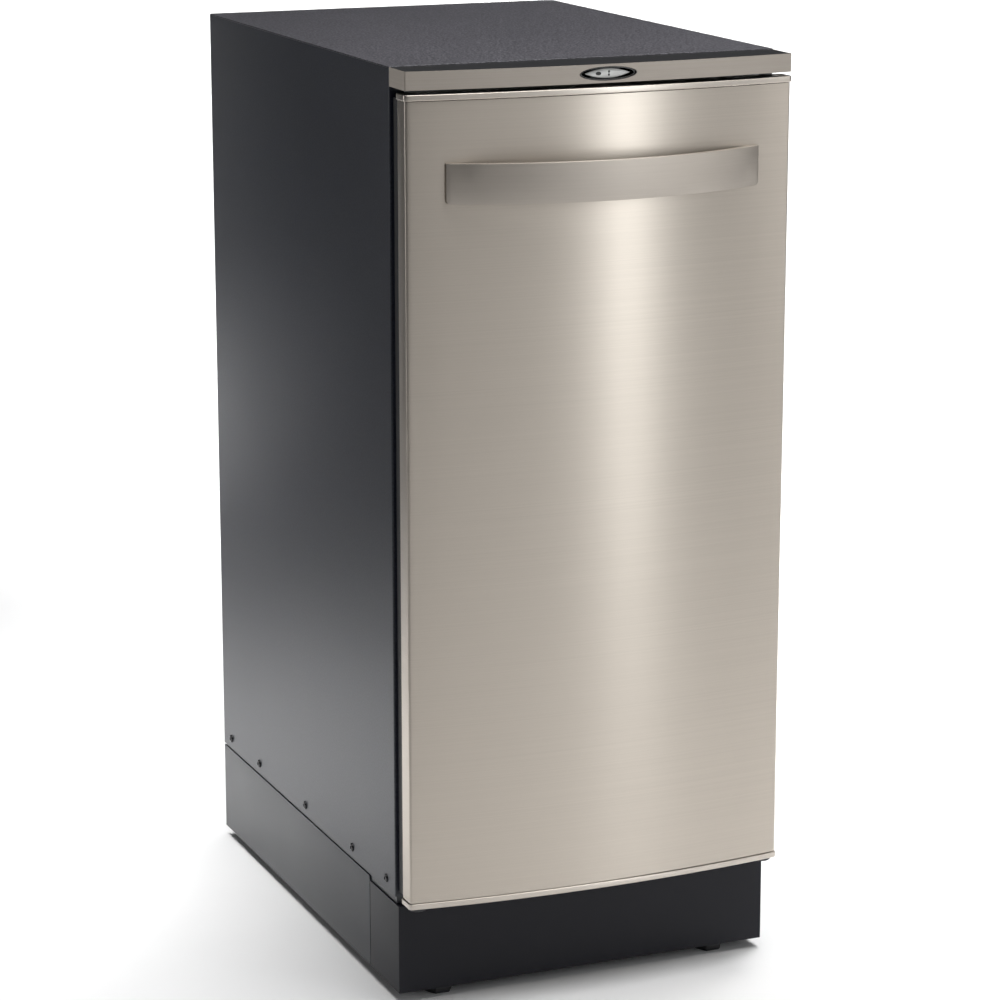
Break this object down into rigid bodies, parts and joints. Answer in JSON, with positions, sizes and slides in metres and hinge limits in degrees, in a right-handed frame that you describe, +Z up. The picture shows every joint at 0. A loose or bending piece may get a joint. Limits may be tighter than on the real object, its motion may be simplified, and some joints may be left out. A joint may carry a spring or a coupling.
{
  "type": "trash compactor",
  "caption": "Free-standing household trash compactor: a dark cabinet on a plinth, a stainless drawer with a bin, and a ram driven by power screws.",
  "frame": {"origin": "floor level, at the middle of the whole object's footprint, handle and cord gland included", "axes": "+X to the right as seen from the front, +Y to the back, +Z up"},
  "size_m": [0.382, 0.598, 0.876],
  "materials": {
    "cabinet_paint": "fine-textured dark blue-black",
    "top_paint": "speckled textured charcoal",
    "back_sheet": "plain grey sheet",
    "plinth_paint": "smooth satin charcoal",
    "toe_kick_paint": "smooth satin black",
    "console_plastic": "smooth dark grey",
    "fascia_steel": "brushed along X",
    "front_steel": "brushed along X",
    "trim_steel": "satin",
    "handle_metal": "satin warm silver",
    "bezel_plastic": "gloss black",
    "rocker_silver": "silver-white",
    "black_plastic": "black moulded",
    "inner_frame_paint": "satin black",
    "bin_paint": "grey powder coat",
    "ram_paint": "dark grey powder coat",
    "zinc_sheet": "zinc-plated sheet",
    "bright_steel": "bright turned steel",
    "screw_steel": "greased steel",
    "chain_steel": "oiled chain",
    "gear_iron": "machined iron",
    "bearing_bronze": "bronze",
    "motor_paint": "dark enamel",
    "nylon": "natural nylon",
    "rubber": "black rubber",
    "black_screws": "black oxide",
    "foot_black": "black oxide"
  },
  "bodies": {
    "cabinet": {"side_panel_left": "cabinet_paint", "side_panel_right": "cabinet_paint", "top_panel": "top_paint", "back_panel": "back_sheet", "base_pan": "zinc_sheet", "base_frame": "plinth_paint", "side_skirt_left": "plinth_paint", "side_skirt_right": "plinth_paint", "toe_kick": "toe_kick_paint", "console_housing": "console_plastic", "console_fascia": "fascia_steel", "switch_bezel": "bezel_plastic", "switch_body": "black_plastic", "front_header": "zinc_sheet", "upper_brace": "zinc_sheet", "screw_bearings": "bearing_bronze", "drawer_tracks": "zinc_sheet", "front_roller_pins": "bright_steel", "drawer_bumpers": "rubber", "motor_housing": "motor_paint", "motor_bracket": "zinc_sheet", "gear_stub_shaft": "bright_steel", "drive_chain": "chain_steel", "terminal_box": "zinc_sheet", "cord_gland": "black_plastic", "cable_duct": "black_plastic", "limit_switch": "black_plastic", "drawer_switch": "black_plastic", "side_panel_screws": "black_screws", "back_panel_screws": "black_screws"},
    "drawer": {"drawer_front_skin": "front_steel", "drawer_inner_frame": "inner_frame_paint", "drawer_top_trim": "trim_steel", "drawer_bottom_trim": "trim_steel", "corner_glides": "black_plastic", "handle": "handle_metal", "handle_screws": "bright_steel", "drawer_runners": "zinc_sheet", "carrier_tray": "inner_frame_paint", "trash_bin": "bin_paint", "bag_clips": "bright_steel", "rear_roller_pins": "bright_steel"},
    "ram": {"ram_crosshead": "ram_paint", "ram_uprights": "ram_paint", "press_plate": "ram_paint", "power_nuts": "bearing_bronze"},
    "left_screw": {"power_screw_left": "screw_steel"},
    "right_screw": {"power_screw_right": "screw_steel"},
    "gear": {"drive_gear": "gear_iron"},
    "motor_rotor": {"motor_pinion": "bright_steel"},
    "rocker": {"start_rocker": "rocker_silver"},
    "front_roller_left_wheel": {"front_roller_left": "nylon"},
    "front_roller_right_wheel": {"front_roller_right": "nylon"},
    "rear_roller_left_wheel": {"rear_roller_left": "nylon"},
    "rear_roller_right_wheel": {"rear_roller_right": "nylon"},
    "foot_front_left": {"levelling_foot_front_left": "foot_black"},
    "foot_front_right": {"levelling_foot_front_right": "foot_black"},
    "foot_rear_left": {"levelling_foot_rear_left": "foot_black"},
    "foot_rear_right": {"levelling_foot_rear_right": "foot_black"}
  },
  "joints": [
    {"name": "drawer_slide", "type": "slide", "parent": "cabinet", "child": "drawer", "axis": [0, -1, 0], "range_m": [0, 0.4]},
    {"name": "front_roller_left_roll", "type": "hinge", "parent": "cabinet", "child": "front_roller_left_wheel", "pos_m": [-0.13575, -0.199, 0.11875], "axis": [1, 0, 0], "range_deg": [-5, 1914.86]},
    {"name": "front_roller_right_roll", "type": "hinge", "parent": "cabinet", "child": "front_roller_right_wheel", "pos_m": [0.13575, -0.199, 0.11875], "axis": [1, 0, 0], "range_deg": [-5, 1914.86]},
    {"name": "rear_roller_left_roll", "type": "hinge", "parent": "drawer", "child": "rear_roller_left_wheel", "pos_m": [-0.13575, 0.257, 0.11875], "axis": [1, 0, 0], "range_deg": [-5, 1914.86]},
    {"name": "rear_roller_right_roll", "type": "hinge", "parent": "drawer", "child": "rear_roller_right_wheel", "pos_m": [0.13575, 0.257, 0.11875], "axis": [1, 0, 0], "range_deg": [-5, 1914.86]},
    {"name": "ram_slide", "type": "slide", "parent": "cabinet", "child": "ram", "axis": [0, 0, -1], "range_m": [0, 0.255]},
    {"name": "left_screw_turn", "type": "hinge", "parent": "cabinet", "child": "left_screw", "pos_m": [-0.16, -0.015, 0.068], "axis": [0, 0, 1], "range_deg": [-10, 15310]},
    {"name": "right_screw_turn", "type": "hinge", "parent": "cabinet", "child": "right_screw", "pos_m": [0.16, -0.015, 0.068], "axis": [0, 0, 1], "range_deg": [-10, 15310]},
    {"name": "gear_turn", "type": "hinge", "parent": "cabinet", "child": "gear", "pos_m": [0, 0.1828, 0.083], "axis": [0, 0, 1], "range_deg": [-10, 15310]},
    {"name": "motor_turn", "type": "hinge", "parent": "cabinet", "child": "motor_rotor", "pos_m": [0, 0.2428, 0.083], "axis": [0, 0, 1], "range_deg": [-61240, 40]},
    {"name": "start_rocker_press", "type": "hinge", "parent": "cabinet", "child": "rocker", "pos_m": [0, -0.2635, 0.8669], "axis": [0, 0, 1], "range_deg": [-4, 4], "stiffness_Nm_per_rad": 0.05},
    {"name": "foot_front_left_adjust", "type": "slide", "parent": "cabinet", "child": "foot_front_left", "axis": [0, 0, -1], "range_m": [0, 0.02]},
    {"name": "foot_front_right_adjust", "type": "slide", "parent": "cabinet", "child": "foot_front_right", "axis": [0, 0, -1], "range_m": [0, 0.02]},
    {"name": "foot_rear_left_adjust", "type": "slide", "parent": "cabinet", "child": "foot_rear_left", "axis": [0, 0, -1], "range_m": [0, 0.02]},
    {"name": "foot_rear_right_adjust", "type": "slide", "parent": "cabinet", "child": "foot_rear_right", "axis": [0, 0, -1], "range_m": [0, 0.02]}
  ],
  "couplings": [
    {"joint": "front_roller_left_roll", "follows": "drawer_slide", "rad_per_m": 83.333},
    {"joint": "front_roller_right_roll", "follows": "drawer_slide", "rad_per_m": 83.333},
    {"joint": "rear_roller_left_roll", "follows": "drawer_slide", "rad_per_m": 83.333},
    {"joint": "rear_roller_right_roll", "follows": "drawer_slide", "rad_per_m": 83.333},
    {"joint": "left_screw_turn", "follows": "ram_slide", "rad_per_m": 1047.2},
    {"joint": "right_screw_turn", "follows": "ram_slide", "rad_per_m": 1047.2},
    {"joint": "gear_turn", "follows": "ram_slide", "rad_per_m": 1047.2},
    {"joint": "motor_turn", "follows": "ram_slide", "rad_per_m": -4188.8}
  ]
}
